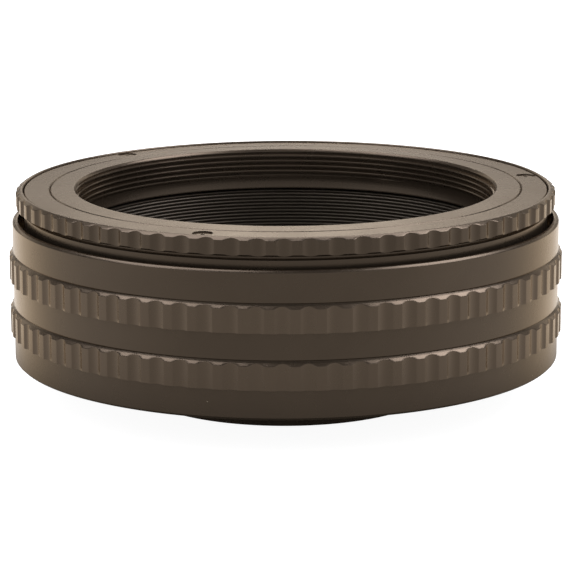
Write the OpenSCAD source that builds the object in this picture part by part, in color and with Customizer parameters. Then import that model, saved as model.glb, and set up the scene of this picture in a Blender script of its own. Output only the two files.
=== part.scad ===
// Focusing helicoid adapter, closed, standing on the end of its rear thread.
// Sizes are in millimetres. The optical axis is Z, the front is up, and the rear end is Z = 0.
// Radii are chained from the guide tube outwards, and heights from the rear end upwards.

/* [Rear mount] */
// Outer radius of the rear thread
rear_thread_r = 21; // [16:0.5:25]
// Length of the rear thread behind its seat
rear_thread_l = 5.2; // [3:0.1:8]
// Wall between the rear thread and the bore inside it
rear_thread_wall = 1.8; // [1:0.1:3]
// Bevel on the free end of the rear thread
rear_bevel = 0.6; // [0.2:0.1:1]
// Thickness of the flange that seats against the camera
flange_t = 1.2; // [0.8:0.1:2.5]
// How far the flange reaches out under the lip of the sleeve
flange_lap = 1.6; // [1:0.1:2]
// Thickness of the floor that the guide tube stands on
floor_t = 1.8; // [1.4:0.1:2.6]
// Bevel at the top of the bore through the floor
floor_bevel = 1; // [0.3:0.1:1.3]

/* [Guide tube] */
// How far the crests of the light-trap grooves stand inside those of the front thread
tube_step = 0.3; // [0.1:0.05:0.6]
// Wall of the guide tube, grooves included
tube_wall = 1.9; // [1.6:0.1:3]
// Pitch of the light-trap grooves
groove_pitch = 0.5; // [0.4:0.05:1]
// Depth of the light-trap grooves
groove_depth = 0.35; // [0.15:0.05:0.5]
// Plain length left at the foot of the tube
groove_start = 2.5; // [1:0.5:5]

/* [Guide keys] */
// Width of a guide key
key_w = 3; // [2.4:0.1:5]
// How far a key stands out of the guide tube
key_depth = 1.15; // [0.9:0.05:1.4]
// Play between a key and its slot
key_play = 0.1; // [0.05:0.01:0.2]
// Gap between the top of a key and the top of the guide tube
key_top_gap = 1.6; // [1.3:0.1:3]
// Radius of the head of a key screw
key_screw_head_r = 0.95; // [0.7:0.05:1.1]
// Height of the head of a key screw
key_screw_head_h = 0.6; // [0.4:0.05:0.75]
// Radius of the shank of a key screw
key_screw_r = 0.5; // [0.4:0.05:0.6]
// Distance from an end of a key to its nearer screw
key_screw_inset = 3; // [1.5:0.1:4]

/* [Inner barrel] */
// Play between the barrel and the guide tube
slide_play = 0.25; // [0.1:0.05:0.3]
// Wall of the barrel behind its head
barrel_wall = 1.95; // [1.7:0.05:3]
// Thickness of the floor of the head, which the insert seats on
head_floor = 1; // [0.8:0.1:1.3]
// Height of the shoulder above the rim of the sleeve
shoulder_rise = 1.1; // [0.6:0.05:1.3]
// Bevel on the shoulder
shoulder_bevel = 0.12; // [0.05:0.01:0.4]
// Step from the shoulder in to the neck under the front ring
neck_step = 0.5; // [0.45:0.05:0.7]
// Gap between the shoulder and the counterbore of the sleeve
shoulder_gap = 0.9; // [0.3:0.05:1]

/* [Helicoid thread] */
// Number of starts
thread_starts = 6; // [4:1:8]
// Lead, which is the travel for one full turn
lead = 12; // [8:0.5:18]
// Radial depth of the thread
thread_depth = 0.9; // [0.7:0.05:1.1]
// Share of a start's angle that the crest takes
crest_share = 0.2; // [0.18:0.01:0.24]
// Share of a start's angle that each flank takes
flank_share = 0.25; // [0.22:0.01:0.28]
// Radial play between the two threads
thread_play = 0.3; // [0.25:0.01:0.35]
// Play along the axis on each flank
flank_play = 0.12; // [0.1:0.01:0.2]
// Wall of the threaded bush under its thread
bush_wall = 0.95; // [0.8:0.05:1.5]
// Wall of the nut behind its thread
nut_wall = 1.7; // [1.2:0.1:3]
// Height of the nut
nut_h = 8.6; // [6:0.1:10]
// How far the front travels
travel = 9; // [4:0.5:9]

/* [Grip sleeve] */
// Height of the sleeve
sleeve_h = 19.5; // [18:0.1:26]
// Wall of the sleeve between its bands
sleeve_wall = 1.35; // [1.1:0.05:3]
// How far the sleeve stays clear of the plane of the rear seat
sleeve_rear_gap = 0.2; // [0.1:0.05:0.4]
// How far the counterbore under the rim is cut into the wall
counterbore_step = 0.6; // [0.3:0.05:0.9]
// Width of the lip that turns on the rear mount
lip_w = 3.4; // [3.2:0.05:4]
// Thickness of that lip
lip_t = 1.3; // [1:0.1:2]
// Running clearance between the lip and the hub that it turns on
lip_play = 0.08; // [0.03:0.01:0.1]
// Bevel on the rim and on the rear edge
sleeve_bevel = 0.3; // [0.1:0.05:0.4]
// Height of the lower edge of the lower band above the rear edge
band_start = 4; // [2:0.1:5]
// Height of a fluted band
band_h = 3.8; // [2.5:0.1:5]
// Plain height between the two bands
band_gap = 3.63; // [2:0.01:5]
// How far the lands of a band stand out of the sleeve
band_proud = 0.51; // [0.4:0.01:0.8]
// Bevel on the foot of the lands
band_foot = 0.3; // [0.1:0.05:0.35]
// Depth of the fine relief turned beside each band
band_relief = 0.12; // [0.05:0.01:0.2]
// Number of flutes round a band
band_flutes = 72; // [48:1:90]
// Radius of a flute
band_flute_r = 1.75; // [1.2:0.05:2.5]
// Height of the floor of a flute above the plain sleeve
band_flute_floor = 0.17; // [0.08:0.01:0.3]
// Angle of the flute nearest to the front view
band_flute_angle = -90.7; // [-95:0.1:-85]

/* [Retaining ring and stop] */
// Thickness of the ring that holds the sleeve's lip down
retainer_t = 0.8; // [0.7:0.1:1.5]
// Thickness of a thrust washer
washer_t = 0.3; // [0.2:0.05:0.5]
// Width of a thrust washer
washer_w = 1; // [0.6:0.1:1.2]
// Play along the axis on each side of the lip
lip_axial_play = 0.05; // [0.03:0.01:0.1]
// Radius of the stop pin
stop_pin_r = 0.5; // [0.4:0.05:0.6]
// Play between the stop pin and its arc slot
stop_play = 0.2; // [0.1:0.05:0.25]
// Radius of the head of a retaining screw
retainer_screw_head_r = 0.95; // [0.7:0.05:1.1]
// Height of the head of a retaining screw
retainer_screw_head_h = 0.5; // [0.3:0.05:0.6]
// Radius of the shank of a retaining screw
retainer_screw_r = 0.5; // [0.4:0.05:0.6]
// Length of the shank of a retaining screw
retainer_screw_l = 1.9; // [1.2:0.1:2.4]

/* [Front ring] */
// Height of the front grip ring
ring_h = 2.5; // [2.2:0.1:5]
// Gap between the front ring and the rim of the sleeve
ring_gap = 1.6; // [1.4:0.1:3]
// How far the front ring is set in from the plain sleeve
ring_inset = 0.55; // [0.4:0.05:1]
// Width of the front ring's own rim on the front face
ring_rim = 1; // [0.8:0.05:1.3]
// Thickness of the front ring's flange under the face ring
ring_flange_t = 0.8; // [0.6:0.1:1.2]
// Bevel on the front edge of the lands, measured across
ring_bevel_w = 0.6; // [0.3:0.05:0.7]
// Bevel on the front edge of the lands, measured down
ring_bevel_h = 0.38; // [0.2:0.02:0.6]
// Bevel on the rear edge of the lands
ring_foot = 0.3; // [0.1:0.05:0.5]
// Number of flutes round the front ring
ring_flutes = 70; // [48:1:84]
// Radius of a flute of the front ring
ring_flute_r = 1.54; // [1.2:0.02:2]
// Depth of a flute of the front ring
ring_flute_depth = 0.4; // [0.25:0.01:0.45]
// Angle of the flute nearest to the front view
ring_flute_angle = -90.3; // [-95:0.1:-85]

/* [Face ring and insert] */
// Width of the ledge that the insert seats on
insert_ledge = 2; // [1.6:0.1:2.5]
// Height of the threaded insert
insert_h = 5.8; // [5:0.1:6.5]
// Radius of the front thread's crests
front_thread_r = 28.6; // [25:0.1:36]
// Width of the bevel at the mouth of the front thread
mouth_bevel_w = 0.6; // [0.3:0.05:1]
// Depth of the bevel at the mouth of the front thread
mouth_bevel_h = 0.5; // [0.3:0.05:1]
// Height of the relief behind the front thread
relief_h = 1.7; // [1:0.1:2.5]
// Depth of the relief behind the front thread
relief_depth = 0.5; // [0.2:0.05:0.9]
// Gap at each joint line on the front face
face_joint = 0.1; // [0.05:0.01:0.15]
// Bevel on the edges of each joint line
face_edge = 0.12; // [0.05:0.01:0.2]
// Gap between the insert and the guide tube when closed
tube_gap = 0.3; // [0.2:0.05:0.5]
// Angle of the first face screw
face_screw_angle = 12.2; // [0:0.1:60]
// Distance from the centre of a face screw out to the front ring's rim
face_screw_edge = 1.6; // [1.5:0.05:1.8]
// Radius of the head of a face screw
face_screw_head_r = 1.3; // [0.9:0.05:1.3]
// Height of the head of a face screw
face_screw_head_h = 0.7; // [0.6:0.05:0.9]
// Depth of a face screw's head below the face
face_screw_sink = 0.25; // [0.1:0.05:0.4]
// Radius of the shank of a face screw
face_screw_r = 0.6; // [0.4:0.05:0.7]
// Length of a face screw's shank in the barrel's head
face_screw_bite = 1.8; // [1:0.1:2.2]
// Radius of the hexagon socket in a face screw, to its corners
face_screw_socket_r = 0.5; // [0.3:0.05:0.6]

/* [Hidden] */
$fn = 96;

// Number of screws in the retaining ring, each a node of its own
retainer_screws = 4;
// Small overlap that lets a cutter pass through a face
cut = 0.5;
// Clearance of pieces that are pressed or bonded together
bond = 0.05;
// Clearance of a screw in its hole
screw_play = 0.02;
// Gap at the end of a blind hole or slot
end_gap = 0.3;
// Turn of one facet of the helicoid thread
facet_turn = 9;
// Sides of the plain wall behind the helicoid thread
wall_sides = 36;
// Factor that draws a faceted hole round its true circle
outside = 1 / cos(facet_turn / 2);

// Radii from the front thread to the guide tube, and from there outwards
tube_bore_r = front_thread_r - tube_step;
tube_r = tube_bore_r + tube_wall;
barrel_bore_r = tube_r + slide_play;
barrel_r = barrel_bore_r + barrel_wall;
bush_root_r = barrel_r + bond + bush_wall;
bush_crest_r = bush_root_r + thread_depth;
nut_minor_r = bush_root_r + thread_play;
nut_major_r = nut_minor_r + thread_depth;
nut_r = nut_major_r + nut_wall;
sleeve_bore_r = nut_r + 2 * bond;
sleeve_r = sleeve_bore_r + sleeve_wall;
band_r = sleeve_r + band_proud;
counterbore_r = sleeve_bore_r + counterbore_step;
shoulder_r = counterbore_r - shoulder_gap;
neck_r = shoulder_r - neck_step;

// Radii of the rear mount and what turns on it
rear_bore_r = rear_thread_r - rear_thread_wall;
hub_r = sleeve_bore_r - lip_w;
flange_r = hub_r + flange_lap;
lip_r = hub_r + lip_play;
sleeve_recess_r = flange_r + end_gap;
washer_in_r = hub_r + bond;
washer_out_r = washer_in_r + washer_w;
retainer_r = sleeve_bore_r - end_gap;
stop_centre_r = (washer_out_r + retainer_r) / 2;
retainer_screw_centre_r = (tube_r + hub_r) / 2;

// Radii of the front
ring_r = sleeve_r - ring_inset;
ring_recess_r = ring_r - ring_rim;
insert_r = barrel_bore_r + insert_ledge;
insert_seat_r = insert_r + face_joint;
face_screw_centre_r = ring_recess_r - face_screw_edge;

// Heights of the rear mount
seat_z = rear_thread_l;
floor_z = seat_z + floor_t;
flange_z = seat_z + flange_t;
lip_z = flange_z + washer_t + lip_axial_play;
lip_top_z = lip_z + lip_t;
hub_z = lip_top_z + lip_axial_play + washer_t;
retainer_z = hub_z + retainer_t;

// Heights of the sleeve
sleeve_z = seat_z + sleeve_rear_gap;
sleeve_top_z = sleeve_z + sleeve_h;
lower_band_z = sleeve_z + band_start;
upper_band_z = lower_band_z + band_h + band_gap;

// Heights of the front
ring_z = sleeve_top_z + ring_gap;
front_z = ring_z + ring_h;
ring_flange_z = ring_z + ring_flange_t;
insert_z = front_z - insert_h;
head_z = insert_z - head_floor;
shoulder_z = sleeve_top_z + shoulder_rise;
barrel_z = retainer_z + end_gap;
tube_top_z = insert_z - tube_gap;
counterbore_z = head_z - end_gap;
nut_top_z = counterbore_z - end_gap + bond;
nut_z = nut_top_z - nut_h;

// Heights of the keys
key_z = retainer_z + bond;
key_top_z = tube_top_z - key_top_gap;

// Angles of the helicoid thread and of the full focusing turn
start_angle = 360 / thread_starts;
half_crest = start_angle * crest_share / 2;
flank_angle = start_angle * flank_share;
flank_play_angle = 360 * flank_play / lead;
full_turn = 360 * travel / lead;

anodised = [0.25, 0.23, 0.21];
anodised_face = [0.34, 0.32, 0.3];
brass = [0.72, 0.58, 0.32];
steel = [0.45, 0.44, 0.43];
slippery = [0.86, 0.85, 0.8];

// A turned piece, from the outline of its section
module turned(outline) {
    rotate_extrude() polygon(outline);
}

// A plain ring
module plain_ring(inner_r, outer_r, z0, z1) {
    turned([[inner_r, z0], [outer_r, z0], [outer_r, z1], [inner_r, z1]]);
}

// Children repeated at equal angles
module around(count, first = 0) {
    for (i = [0 : count - 1]) rotate(first + i * 360 / count) children();
}

// A ring of upright flute cutters whose floors touch the circle floor_r
module flute_cutters(count, first, flute_r, floor_r, z0, z1) {
    around(count, first)
        translate([floor_r + flute_r, 0, z0 - cut])
            cylinder(h = z1 - z0 + 2 * cut, r = flute_r);
}

// Section of a multi-start thread, with straight flanks between root and crest
function thread_section(root_r, crest_r, crest_half) = [
    for (s = [0 : thread_starts - 1], p = [
        [root_r, -crest_half - flank_angle],
        [crest_r, -crest_half],
        [crest_r, crest_half],
        [root_r, crest_half + flank_angle],
        [root_r, start_angle / 2]
    ]) p[0] * [cos(s * start_angle + p[1]), sin(s * start_angle + p[1])]
];

// A left-hand helical extrusion whose section lies at the same angle at the same height
module helical(z0, z1) {
    turn = 360 * (z1 - z0) / lead;
    translate([0, 0, z0])
        rotate(-360 * (z0 - barrel_z) / lead)
            linear_extrude(height = z1 - z0, twist = turn, slices = ceil(turn / facet_turn), $fn = 0)
                children();
}

// The plate that seats on the camera, with the rear thread and the hub of the sleeve
module rear_mount() {
    color(anodised) difference() {
        turned([
            [rear_bore_r, 0],
            [rear_thread_r - rear_bevel, 0],
            [rear_thread_r, rear_bevel],
            [rear_thread_r, seat_z],
            [flange_r, seat_z],
            [flange_r, flange_z],
            [hub_r, flange_z],
            [hub_r, hub_z],
            [tube_r + bond, hub_z],
            [tube_r + bond, floor_z],
            [rear_bore_r + floor_bevel, floor_z],
            [rear_bore_r, floor_z - floor_bevel]
        ]);
        around(retainer_screws, 45)
            translate([retainer_screw_centre_r, 0, hub_z - retainer_screw_l])
                cylinder(h = retainer_screw_l + cut, r = retainer_screw_r + screw_play);
    }
}

// The fixed tube inside, with light-trap grooves turned in its bore
module guide_tube() {
    groove_z = floor_z + groove_start;
    grooves = floor((tube_top_z - groove_z) / groove_pitch);
    first_z = tube_top_z - grooves * groove_pitch;
    root_r = tube_bore_r + groove_depth;
    color(anodised) difference() {
        turned(concat(
            [[tube_r, floor_z], [tube_r, tube_top_z]],
            [for (i = [grooves : -1 : 1], p = [
                [tube_bore_r, first_z + i * groove_pitch],
                [root_r, first_z + (i - 0.5) * groove_pitch]
            ]) p],
            [[tube_bore_r, first_z], [tube_bore_r, floor_z]]
        ));
        for (side = [0, 180], z = [key_z + key_screw_inset, key_top_z - key_screw_inset])
            rotate(side) key_screw_hole(z);
    }
}

// The hole of a key screw, from its blind end in the tube outwards
module key_screw_hole(z) {
    translate([root_wall_r(), 0, z])
        rotate([0, 90, 0])
            cylinder(h = key_depth + tube_wall, r = key_screw_r + screw_play);
}

// Radius of the blind end of the key screws, short of the grooves
function root_wall_r() = tube_bore_r + groove_depth + 2 * bond;

// A brass key that stops the barrel turning
module guide_key(side) {
    head_z = key_screw_head_h + screw_play;
    color(brass) rotate(side) difference() {
        intersection() {
            plain_ring(tube_r, tube_r + key_depth, key_z, key_top_z);
            translate([0, -key_w / 2, key_z])
                cube([tube_r + 2 * key_depth, key_w, key_top_z - key_z]);
        }
        for (z = [key_z + key_screw_inset, key_top_z - key_screw_inset]) {
            key_screw_hole(z);
            translate([tube_r + key_depth - bond - head_z, 0, z])
                rotate([0, 90, 0])
                    cylinder(h = head_z + cut, r = key_screw_head_r + screw_play);
        }
    }
}

// A screw that holds a key on the tube
module key_screw(side, z) {
    head_r = tube_r + key_depth - bond;
    under_r = head_r - key_screw_head_h;
    color(steel) rotate(side) translate([0, 0, z]) rotate([0, 90, 0]) difference() {
        union() {
            translate([0, 0, under_r]) cylinder(h = key_screw_head_h, r = key_screw_head_r);
            translate([0, 0, root_wall_r() + bond])
                cylinder(h = under_r - root_wall_r(), r = key_screw_r);
        }
        translate([-key_screw_head_r * 2, -key_screw_r / 3, head_r - key_screw_head_h / 2])
            cube([key_screw_head_r * 4, key_screw_r * 2 / 3, key_screw_head_h]);
    }
}

// A thrust washer, with its lower face at z
module thrust_washer(z) {
    color(slippery) plain_ring(washer_in_r, washer_out_r, z, z + washer_t);
}

// The ring that holds the sleeve down, with the arc slot that limits its turn
module retaining_ring() {
    slot_half = stop_pin_r + stop_play;
    head_floor_z = retainer_z - retainer_screw_head_h;
    color(anodised) difference() {
        plain_ring(tube_r + bond, retainer_r, hub_z, retainer_z);
        translate([0, 0, hub_z - cut]) {
            rotate_extrude(angle = full_turn)
                translate([stop_centre_r - slot_half, 0])
                    square([2 * slot_half, retainer_t + 2 * cut]);
            for (a = [0, full_turn])
                rotate(a) translate([stop_centre_r, 0, 0])
                    cylinder(h = retainer_t + 2 * cut, r = slot_half);
        }
        around(retainer_screws, 45) translate([retainer_screw_centre_r, 0, 0]) {
            translate([0, 0, hub_z - cut])
                cylinder(h = retainer_t + 2 * cut, r = retainer_screw_r + screw_play);
            translate([0, 0, head_floor_z])
                cylinder(h = retainer_screw_head_h + cut, r = retainer_screw_head_r + screw_play);
        }
    }
}

// A screw that holds the retaining ring on the hub
module retaining_screw(index) {
    head_floor_z = retainer_z - retainer_screw_head_h;
    bottom_z = hub_z - retainer_screw_l + bond;
    color(steel) rotate(45 + index * 360 / retainer_screws)
        translate([retainer_screw_centre_r, 0, 0]) difference() {
            union() {
                translate([0, 0, head_floor_z])
                    cylinder(h = retainer_screw_head_h, r = retainer_screw_head_r);
                translate([0, 0, bottom_z])
                    cylinder(h = head_floor_z - bottom_z + bond, r = retainer_screw_r);
            }
            translate([-retainer_screw_head_r * 2, -retainer_screw_r / 3, retainer_z - bond * 5])
                cube([retainer_screw_head_r * 4, retainer_screw_r * 2 / 3, cut]);
        }
}

// Outline of one band, from its foot up, with a fine relief at either side
function band_outline(z) = [
    [sleeve_r, z - band_relief],
    [sleeve_r - band_relief, z],
    [band_r - band_foot, z],
    [band_r, z + band_foot],
    [band_r, z + band_h - band_proud],
    [sleeve_r - band_relief, z + band_h + band_relief],
    [sleeve_r, z + band_h + 2 * band_relief]
];

// The outer sleeve, which is turned to focus, with two fluted bands
module grip_sleeve() {
    color(anodised) difference() {
        turned(concat(
            [
                [sleeve_recess_r, sleeve_z],
                [sleeve_r - sleeve_bevel, sleeve_z],
                [sleeve_r, sleeve_z + sleeve_bevel]
            ],
            band_outline(lower_band_z),
            band_outline(upper_band_z),
            [
                [sleeve_r, sleeve_top_z - sleeve_bevel],
                [sleeve_r - sleeve_bevel, sleeve_top_z],
                [counterbore_r, sleeve_top_z],
                [counterbore_r, counterbore_z],
                [sleeve_bore_r, counterbore_z],
                [sleeve_bore_r, lip_top_z],
                [lip_r, lip_top_z],
                [lip_r, lip_z],
                [sleeve_recess_r, lip_z]
            ]
        ));
        flute_cutters(band_flutes, band_flute_angle, band_flute_r,
            sleeve_r + band_flute_floor, lower_band_z, upper_band_z + band_h);
        translate([stop_centre_r, 0, lip_top_z - lip_t / 2])
            cylinder(h = lip_t, r = stop_pin_r + screw_play);
    }
}

// The brass nut bonded in the sleeve
module helicoid_nut() {
    void_half = half_crest + flank_play_angle - flank_angle * thread_play / thread_depth;
    color(brass) helical(nut_z, nut_top_z) difference() {
        circle(r = nut_r + bond, $fn = wall_sides);
        polygon(thread_section(nut_minor_r * outside, nut_major_r * outside, void_half));
    }
}

// The pin in the sleeve's lip that runs in the arc slot
module stop_pin() {
    foot_z = lip_top_z - lip_t / 2 + screw_play;
    color(steel) translate([stop_centre_r, 0, foot_z])
        cylinder(h = retainer_z - 2 * bond - foot_z, r = stop_pin_r);
}

// The barrel that carries the front, keyed to the guide tube
module inner_barrel() {
    slot_r = tube_r + key_depth + slide_play - key_play;
    slot_w = key_w + 2 * key_play;
    color(anodised) difference() {
        turned([
            [barrel_bore_r, barrel_z],
            [barrel_r, barrel_z],
            [barrel_r, head_z],
            [shoulder_r, head_z],
            [shoulder_r, shoulder_z - shoulder_bevel],
            [shoulder_r - shoulder_bevel, shoulder_z],
            [neck_r, shoulder_z],
            [neck_r, ring_z],
            [insert_seat_r, ring_z],
            [insert_seat_r, insert_z],
            [barrel_bore_r, insert_z]
        ]);
        for (side = [0, 180]) rotate(side)
            translate([barrel_bore_r - cut, -slot_w / 2, barrel_z - cut])
                cube([slot_r - barrel_bore_r + cut, slot_w, key_top_z + end_gap - barrel_z + cut]);
        around(3, face_screw_angle)
            translate([face_screw_centre_r, 0, ring_z - face_screw_bite])
                cylinder(h = face_screw_bite + cut, r = face_screw_r + screw_play);
    }
}

// The brass bush bonded on the barrel, with the outer thread
module helicoid_bush() {
    inner_r = (barrel_r + bond) * outside / cos(180 / wall_sides);
    color(brass) helical(barrel_z, head_z) difference() {
        polygon(thread_section(bush_root_r, bush_crest_r, half_crest));
        circle(r = inner_r, $fn = wall_sides);
    }
}

// The fluted ring round the front, clamped by the face ring
module front_grip_ring() {
    floor_r = ring_r - ring_flute_depth;
    color(anodised) difference() {
        turned([
            [insert_seat_r, ring_z],
            [floor_r - face_edge, ring_z],
            [ring_r, ring_z + ring_foot],
            [ring_r, front_z - ring_bevel_h],
            [ring_r - ring_bevel_w, front_z],
            [ring_recess_r + face_edge, front_z],
            [ring_recess_r, front_z - face_edge],
            [ring_recess_r, ring_flange_z],
            [insert_seat_r, ring_flange_z]
        ]);
        flute_cutters(ring_flutes, ring_flute_angle, ring_flute_r, floor_r, ring_z, front_z);
        around(3, face_screw_angle)
            translate([face_screw_centre_r, 0, ring_z - cut])
                cylinder(h = ring_h, r = face_screw_r + screw_play);
    }
}

// The flat ring on the front, with three counterbored screw holes
module face_ring() {
    inner_r = insert_r + face_joint;
    outer_r = ring_recess_r - face_joint;
    head_floor_z = front_z - face_screw_sink - face_screw_head_h;
    color(anodised_face) difference() {
        turned([
            [inner_r, ring_flange_z],
            [outer_r, ring_flange_z],
            [outer_r, front_z - face_edge],
            [outer_r - face_edge, front_z],
            [inner_r + face_edge, front_z],
            [inner_r, front_z - face_edge]
        ]);
        around(3, face_screw_angle) translate([face_screw_centre_r, 0, 0]) {
            translate([0, 0, ring_flange_z - cut])
                cylinder(h = ring_h, r = face_screw_r + screw_play);
            translate([0, 0, head_floor_z])
                cylinder(h = ring_h, r = face_screw_head_r + bond);
        }
    }
}

// The insert with the front thread, drawn as the bore at its crests
module thread_insert() {
    relief_z = insert_z + relief_h;
    color(anodised_face) turned([
        [tube_bore_r + bond, insert_z],
        [insert_r, insert_z],
        [insert_r, front_z - face_edge],
        [insert_r - face_edge, front_z],
        [front_thread_r + mouth_bevel_w, front_z],
        [front_thread_r, front_z - mouth_bevel_h],
        [front_thread_r, relief_z],
        [front_thread_r + relief_depth, relief_z],
        [front_thread_r + relief_depth, relief_z - relief_h / 3]
    ]);
}

// A screw that clamps the face ring and the front ring on the barrel
module face_screw(index) {
    head_top_z = front_z - face_screw_sink;
    head_floor_z = head_top_z - face_screw_head_h;
    bottom_z = ring_z - face_screw_bite + bond;
    color(steel) rotate(face_screw_angle + index * 120)
        translate([face_screw_centre_r, 0, 0]) difference() {
            union() {
                translate([0, 0, head_floor_z])
                    cylinder(h = face_screw_head_h, r = face_screw_head_r);
                translate([0, 0, bottom_z])
                    cylinder(h = head_floor_z - bottom_z + bond, r = face_screw_r);
            }
            translate([0, 0, head_top_z - face_screw_head_h / 2])
                cylinder(h = face_screw_head_h, r = face_screw_socket_r, $fn = 6);
        }
}

rear_mount();
guide_tube();
guide_key(0);  // guide_key_a
guide_key(180);  // guide_key_b
key_screw(0, key_z + key_screw_inset);  // key_screw_a_low
key_screw(0, key_top_z - key_screw_inset);  // key_screw_a_high
key_screw(180, key_z + key_screw_inset);  // key_screw_b_low
key_screw(180, key_top_z - key_screw_inset);  // key_screw_b_high
thrust_washer(flange_z);  // rear_washer
thrust_washer(hub_z - washer_t);  // front_washer
retaining_ring();
retaining_screw(0);  // retaining_screw_a
retaining_screw(1);  // retaining_screw_b
retaining_screw(2);  // retaining_screw_c
retaining_screw(3);  // retaining_screw_d
grip_sleeve();
helicoid_nut();
stop_pin();
inner_barrel();
helicoid_bush();
front_grip_ring();
face_ring();
thread_insert();
face_screw(0);  // face_screw_a
face_screw(1);  // face_screw_b
face_screw(2);  // face_screw_c
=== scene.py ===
import logging
import math
from dataclasses import dataclass
from enum import Enum
from typing import Any, Iterable, Mapping, Optional, Sequence, Union

import bmesh
import bpy
from mathutils import Matrix, Vector


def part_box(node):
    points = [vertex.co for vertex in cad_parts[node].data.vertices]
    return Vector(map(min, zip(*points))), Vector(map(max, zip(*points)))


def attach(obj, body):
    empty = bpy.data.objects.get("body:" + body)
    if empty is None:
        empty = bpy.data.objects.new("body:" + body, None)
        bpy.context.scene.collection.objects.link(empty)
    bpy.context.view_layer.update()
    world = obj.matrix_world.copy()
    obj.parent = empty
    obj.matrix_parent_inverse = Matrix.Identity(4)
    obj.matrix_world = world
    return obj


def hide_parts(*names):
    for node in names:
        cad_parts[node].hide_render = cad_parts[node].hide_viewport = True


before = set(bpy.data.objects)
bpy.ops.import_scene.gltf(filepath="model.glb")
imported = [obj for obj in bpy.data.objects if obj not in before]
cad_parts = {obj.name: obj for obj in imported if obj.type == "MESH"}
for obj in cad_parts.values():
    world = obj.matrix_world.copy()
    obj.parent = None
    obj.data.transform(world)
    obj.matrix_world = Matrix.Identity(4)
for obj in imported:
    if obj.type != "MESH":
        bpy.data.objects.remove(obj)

MM = 0.001
AXIS = Vector((0, 0, 1))
MERGE = 0.0005 * MM
WHITE = (1.0, 1.0, 1.0)
LOG = logging.getLogger("adapter")


class Body(Enum):
    """The bodies that pieces ride on."""

    MOUNT = "mount"
    FOCUS = "focus_ring"
    FRONT = "front"


class Slot(Enum):
    """The material slots of the record."""

    BLACK = "black_anodised"
    MATT = "black_anodised_matt"
    BRASS = "brass"
    SCREW = "screw_steel"
    DARK_SCREW = "blackened_steel"
    WASHER = "washer_plastic"


class Channel(Enum):
    """Places of the sockets on a Mix node that blends colours."""

    FACTOR = 0
    FIRST = 6
    SECOND = 7
    RESULT = 2


Operand = Union["Value", float]
Input = Union["Value", bpy.types.NodeSocket, float, Sequence[float]]
Colour = Union[bpy.types.NodeSocket, Sequence[float]]


class Value:
    """A socket that carries a number, so that Python's operators add Math nodes."""

    def __init__(self, graph: "Graph", socket: bpy.types.NodeSocket) -> None:
        """Wraps a socket of a graph."""
        self.graph = graph
        self.socket = socket

    def math(self, operation: str, *operands: Operand) -> "Value":
        """Adds a Math node.

        Args:
            operation: Name of the Math node's operation.
            operands: Numbers or wrapped sockets, in the node's order.

        Returns:
            The wrapped result.
        """
        node = self.graph.node(
            "ShaderNodeMath", {"operation": operation}, dict(enumerate(operands))
        )
        return Value(self.graph, node.outputs[0])

    def __add__(self, other: Operand) -> "Value":
        """Sum."""
        return self.math("ADD", self, other)

    def __radd__(self, other: Operand) -> "Value":
        """Sum, with the number first."""
        return self.math("ADD", other, self)

    def __sub__(self, other: Operand) -> "Value":
        """Difference."""
        return self.math("SUBTRACT", self, other)

    def __rsub__(self, other: Operand) -> "Value":
        """Difference, with the number first."""
        return self.math("SUBTRACT", other, self)

    def __mul__(self, other: Operand) -> "Value":
        """Product."""
        return self.math("MULTIPLY", self, other)

    def __rmul__(self, other: Operand) -> "Value":
        """Product, with the number first."""
        return self.math("MULTIPLY", other, self)

    def __truediv__(self, other: Operand) -> "Value":
        """Quotient."""
        return self.math("DIVIDE", self, other)

    def __gt__(self, other: Operand) -> "Value":
        """One where this value is the greater, else zero."""
        return self.math("GREATER_THAN", self, other)

    def __lt__(self, other: Operand) -> "Value":
        """One where this value is the smaller, else zero."""
        return self.math("LESS_THAN", self, other)

    def larger(self, other: Operand) -> "Value":
        """The larger of two values."""
        return self.math("MAXIMUM", self, other)

    def root(self) -> "Value":
        """Square root."""
        return self.math("SQRT", self)

    def unsigned(self) -> "Value":
        """This value without its sign."""
        return self.math("ABSOLUTE", self)

    def ramp(self, start: float, end: float, low: float = 0.0, high: float = 1.0) -> "Value":
        """Maps this value smoothly from one range to another.

        Args:
            start: Value that gives low.
            end: Value that gives high.
            low: Result at start and before it.
            high: Result at end and beyond it.

        Returns:
            The wrapped result.
        """
        node = self.graph.node(
            "ShaderNodeMapRange",
            {"interpolation_type": "SMOOTHSTEP"},
            {"Value": self, "From Min": start, "From Max": end, "To Min": low, "To Max": high},
        )
        return Value(self.graph, node.outputs["Result"])


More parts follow.
